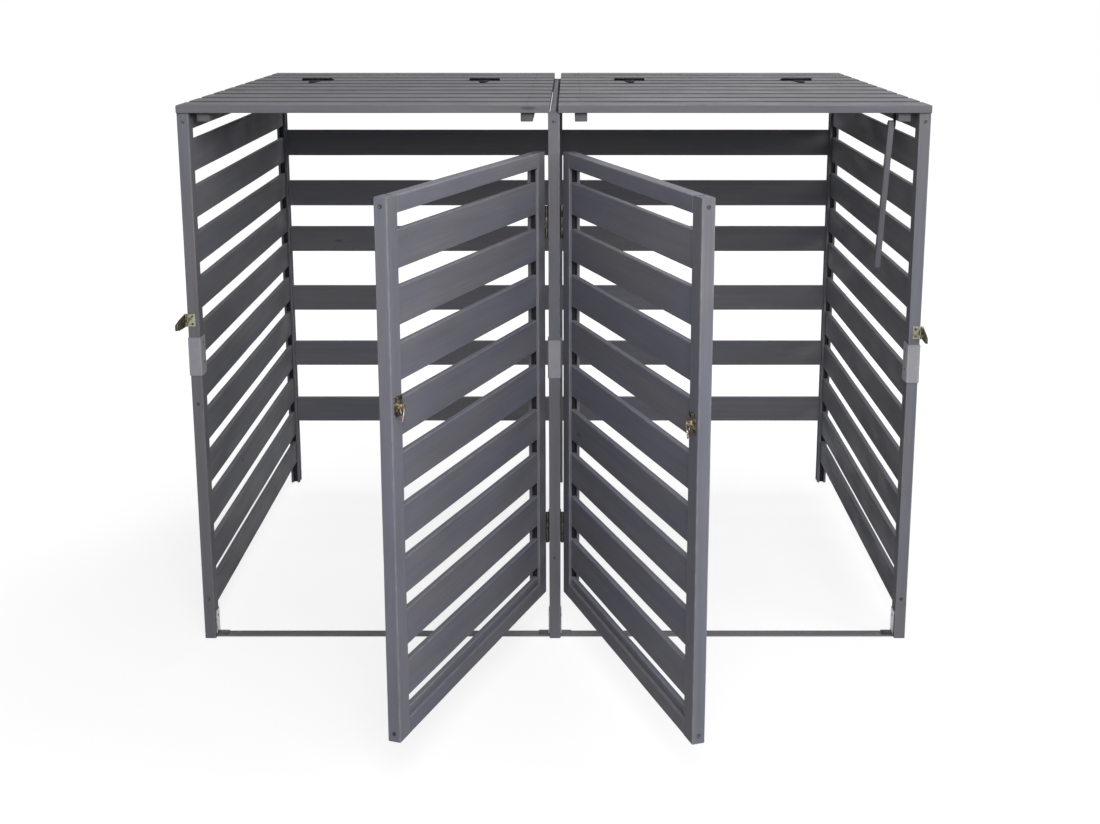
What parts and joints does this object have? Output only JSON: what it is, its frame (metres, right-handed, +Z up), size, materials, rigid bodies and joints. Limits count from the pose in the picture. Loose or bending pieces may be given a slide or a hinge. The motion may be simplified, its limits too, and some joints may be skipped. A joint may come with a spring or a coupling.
{
  "type": "wheelie bin store",
  "caption": "Slatted timber store for wheelie bins in side-by-side bays, with framed slatted doors hung on the centre post and lifting slatted roof lids.",
  "frame": {"origin": "middle of the centre front post's foot, on the ground", "axes": "+X across the front to the viewer's right, +Y from the front to the back, +Z up"},
  "size_m": [1.5938, 1.8264, 1.203],
  "materials": {
    "frame_timber": "grey stained softwood, satin, fine grain",
    "slat_timber": "dark grey stained softwood slats, satin",
    "door_timber": "grey stained softwood, satin, fine grain",
    "roof_timber": "grey stained softwood boards, a little paler",
    "yellow_zinc": "yellow passivated zinc plate",
    "bright_zinc": "bright zinc plated screws",
    "galvanised_steel": "galvanised sheet",
    "black_steel": "black powder coat",
    "grey_sleeve": "light grey coated sheet"
  },
  "bodies": {
    "frame": {"left_front_post": "frame_timber", "centre_front_post": "frame_timber", "right_front_post": "frame_timber", "left_rear_post": "frame_timber", "centre_rear_post": "frame_timber", "right_rear_post": "frame_timber", "left_top_rail": "frame_timber", "right_top_rail": "frame_timber", "left_bottom_rail": "frame_timber", "right_bottom_rail": "frame_timber", "centre_top_rail": "frame_timber", "rear_top_rails": "frame_timber", "left_side_slats": "slat_timber", "right_side_slats": "slat_timber", "left_rear_slats": "slat_timber", "right_rear_slats": "slat_timber", "left_fixed_boards": "roof_timber", "right_fixed_boards": "roof_timber", "fixed_roof_battens": "roof_timber", "threshold_brackets": "galvanised_steel", "left_threshold_bar": "galvanised_steel", "right_threshold_bar": "galvanised_steel", "post_sleeves": "grey_sleeve", "frame_screws": "bright_zinc", "post_hinge_leaves": "yellow_zinc", "door_hinge_pins": "yellow_zinc", "lid_hinge_leaves": "black_steel", "lid_hinge_pins": "black_steel", "left_hasp_plate": "yellow_zinc", "right_hasp_plate": "yellow_zinc", "hasp_pins": "yellow_zinc"},
    "left_door": {"left_door_hinge_stile": "door_timber", "left_door_free_stile": "door_timber", "left_door_top_rail": "door_timber", "left_door_bottom_rail": "door_timber", "left_door_slats": "door_timber", "left_door_hinge_leaves": "yellow_zinc", "left_keep_plate": "yellow_zinc", "left_door_screws": "bright_zinc"},
    "right_door": {"right_door_hinge_stile": "door_timber", "right_door_free_stile": "door_timber", "right_door_top_rail": "door_timber", "right_door_bottom_rail": "door_timber", "right_door_slats": "door_timber", "right_door_hinge_leaves": "yellow_zinc", "right_keep_plate": "yellow_zinc", "right_door_screws": "bright_zinc"},
    "left_lid": {"left_lid_boards": "roof_timber", "left_lid_battens": "roof_timber", "left_lid_straps": "black_steel"},
    "right_lid": {"right_lid_boards": "roof_timber", "right_lid_battens": "roof_timber", "right_lid_straps": "black_steel", "prop_bracket": "black_steel"},
    "prop": {"prop_stick": "frame_timber"},
    "left_hasp": {"left_hasp_strap": "yellow_zinc"},
    "right_hasp": {"right_hasp_strap": "yellow_zinc"},
    "left_link": {"left_drop_link": "yellow_zinc"},
    "right_link": {"right_drop_link": "yellow_zinc"}
  },
  "joints": [
    {"name": "left_door_hinge", "type": "hinge", "parent": "frame", "child": "left_door", "pos_m": [-0.0165, -0.019, 0.608], "axis": [0, 0, 1], "range_deg": [-70, 18]},
    {"name": "right_door_hinge", "type": "hinge", "parent": "frame", "child": "right_door", "pos_m": [0.0165, -0.019, 0.608], "axis": [0, 0, -1], "range_deg": [-71.5, 16.5]},
    {"name": "left_lid_hinge", "type": "hinge", "parent": "frame", "child": "left_lid", "pos_m": [-0.4055, 0.7734, 1.199], "axis": [-1, 0, 0], "range_deg": [0, 100]},
    {"name": "right_lid_hinge", "type": "hinge", "parent": "frame", "child": "right_lid", "pos_m": [0.4055, 0.7734, 1.199], "axis": [-1, 0, 0], "range_deg": [0, 100]},
    {"name": "prop_pivot", "type": "hinge", "parent": "right_lid", "child": "prop", "pos_m": [0.715, 0.024, 1.155], "axis": [1, 0, 0], "range_deg": [-14, 70]},
    {"name": "left_hasp_hinge", "type": "hinge", "parent": "frame", "child": "left_hasp", "pos_m": [-0.7932, -0.0197, 0.737], "axis": [0, 0, 1], "range_deg": [-83, 92]},
    {"name": "right_hasp_hinge", "type": "hinge", "parent": "frame", "child": "right_hasp", "pos_m": [0.7932, -0.0197, 0.709], "axis": [0, 0, -1], "range_deg": [-90, 85]},
    {"name": "left_link_swing", "type": "hinge", "parent": "left_door", "child": "left_link", "pos_m": [-0.25434, -0.69439, 0.737], "axis": [-0.342, -0.9397, 0], "range_deg": [-8, 150]},
    {"name": "right_link_swing", "type": "hinge", "parent": "right_door", "child": "right_link", "pos_m": [0.23658, -0.70038, 0.709], "axis": [-0.3173, 0.9483, 0], "range_deg": [-8, 150]}
  ]
}
